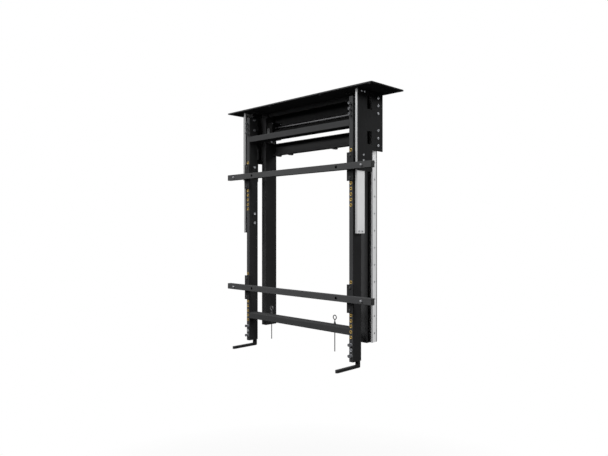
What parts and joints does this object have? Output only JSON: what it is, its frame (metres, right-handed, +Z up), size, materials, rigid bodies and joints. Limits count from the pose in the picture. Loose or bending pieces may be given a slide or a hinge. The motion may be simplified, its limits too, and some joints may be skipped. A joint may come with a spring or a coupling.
{
  "type": "ceiling tv lift",
  "caption": "Ceiling lift for a flat display: a framed carriage with crossbars slides down two rear rails from a ceiling plate, driven by belts.",
  "frame": {"origin": "middle of the ceiling plate's upper face", "axes": "+Z up out of the ceiling face, -Y towards the display, +X along the plate"},
  "size_m": [0.675, 0.2088, 0.852],
  "materials": {
    "powder_coat": "matt black powder coat, finely textured",
    "silver_aluminium": "natural anodised, satin",
    "zinc_steel": "bright zinc plated",
    "bright_steel": "ground and lightly oiled",
    "brass": "yellow passivated",
    "black_plastic": "moulded, matt",
    "glide_polymer": "machined, self-lubricating",
    "belt_rubber": "moulded tooth belt",
    "black_oxide": "black oxide on steel",
    "motor_paint": "satin black enamel"
  },
  "bodies": {
    "frame": {"top_plate": "powder_coat", "header_angle": "powder_coat", "plate_gussets": "powder_coat", "rear_panel": "powder_coat", "rear_beam": "powder_coat", "beam_bumpers": "black_plastic", "column_left": "powder_coat", "column_right": "powder_coat", "rail_left": "silver_aluminium", "rail_right": "silver_aluminium", "rail_races": "bright_steel", "rail_screws": "zinc_steel", "shaft_bearings": "brass", "drive_belt_left": "belt_rubber", "drive_belt_right": "belt_rubber", "idler_axles": "zinc_steel", "gearbox_housing": "powder_coat", "gearbox_cover": "powder_coat", "motor_tube": "motor_paint", "motor_end_bracket": "powder_coat", "drive_bolts": "zinc_steel"},
    "drive_shaft": {"sync_shaft": "bright_steel", "drive_pulley_left": "bright_steel", "drive_pulley_right": "bright_steel", "shaft_gear": "bright_steel"},
    "pinion": {"motor_pinion": "bright_steel"},
    "idler_left": {"idler_pulley_left": "bright_steel"},
    "idler_right": {"idler_pulley_right": "bright_steel"},
    "carriage": {"side_plate_left": "powder_coat", "side_plate_right": "powder_coat", "glide_blocks_left": "glide_polymer", "glide_blocks_right": "glide_polymer", "glide_bolts": "zinc_steel", "belt_clamp_left": "powder_coat", "belt_clamp_right": "powder_coat", "strip_left": "silver_aluminium", "strip_right": "silver_aluminium", "strip_screws": "zinc_steel", "strut_spacers": "zinc_steel", "strut_bolts": "zinc_steel", "upright_left": "powder_coat", "upright_right": "powder_coat", "rivet_nuts": "brass", "top_bolts": "zinc_steel", "foot_clamp_bolts": "zinc_steel", "clamp_nuts": "zinc_steel", "upper_beam": "powder_coat", "cable_lug": "powder_coat", "lower_tube": "powder_coat", "mount_plates_upper": "powder_coat", "mount_plates_lower": "powder_coat", "crossbar_upper": "powder_coat", "crossbar_lower": "powder_coat", "mount_bolts": "black_oxide", "crossbar_caps": "black_plastic", "display_studs": "zinc_steel", "eye_bolt_left": "zinc_steel", "eye_bolt_right": "zinc_steel", "eye_nuts": "black_oxide"},
    "foot_left": {"foot_left": "powder_coat"},
    "foot_right": {"foot_right": "powder_coat"}
  },
  "joints": [
    {"name": "lift_slide", "type": "slide", "parent": "frame", "child": "carriage", "axis": [0, 0, -1], "range_m": [0, 0.575]},
    {"name": "shaft_spin", "type": "hinge", "parent": "frame", "child": "drive_shaft", "pos_m": [0, 0.03225, -0.058], "axis": [1, 0, 0], "range_deg": [0, 2929]},
    {"name": "pinion_spin", "type": "hinge", "parent": "frame", "child": "pinion", "pos_m": [-0.21, 0.04025, -0.08063], "axis": [1, 0, 0], "range_deg": [-4100, 0]},
    {"name": "idler_left_spin", "type": "hinge", "parent": "frame", "child": "idler_left", "pos_m": [-0.2366, 0.03225, -0.752], "axis": [1, 0, 0], "range_deg": [0, 2929]},
    {"name": "idler_right_spin", "type": "hinge", "parent": "frame", "child": "idler_right", "pos_m": [0.2366, 0.03225, -0.752], "axis": [1, 0, 0], "range_deg": [0, 2929]},
    {"name": "foot_left_slide", "type": "slide", "parent": "carriage", "child": "foot_left", "axis": [0, 0, -1], "range_m": [-0.01, 0.055]},
    {"name": "foot_right_slide", "type": "slide", "parent": "carriage", "child": "foot_right", "axis": [0, 0, -1], "range_m": [-0.01, 0.055]}
  ],
  "couplings": [
    {"joint": "shaft_spin", "follows": "lift_slide", "rad_per_m": 88.889},
    {"joint": "pinion_spin", "follows": "lift_slide", "rad_per_m": -124.44},
    {"joint": "idler_left_spin", "follows": "lift_slide", "rad_per_m": 88.889},
    {"joint": "idler_right_spin", "follows": "lift_slide", "rad_per_m": 88.889}
  ]
}
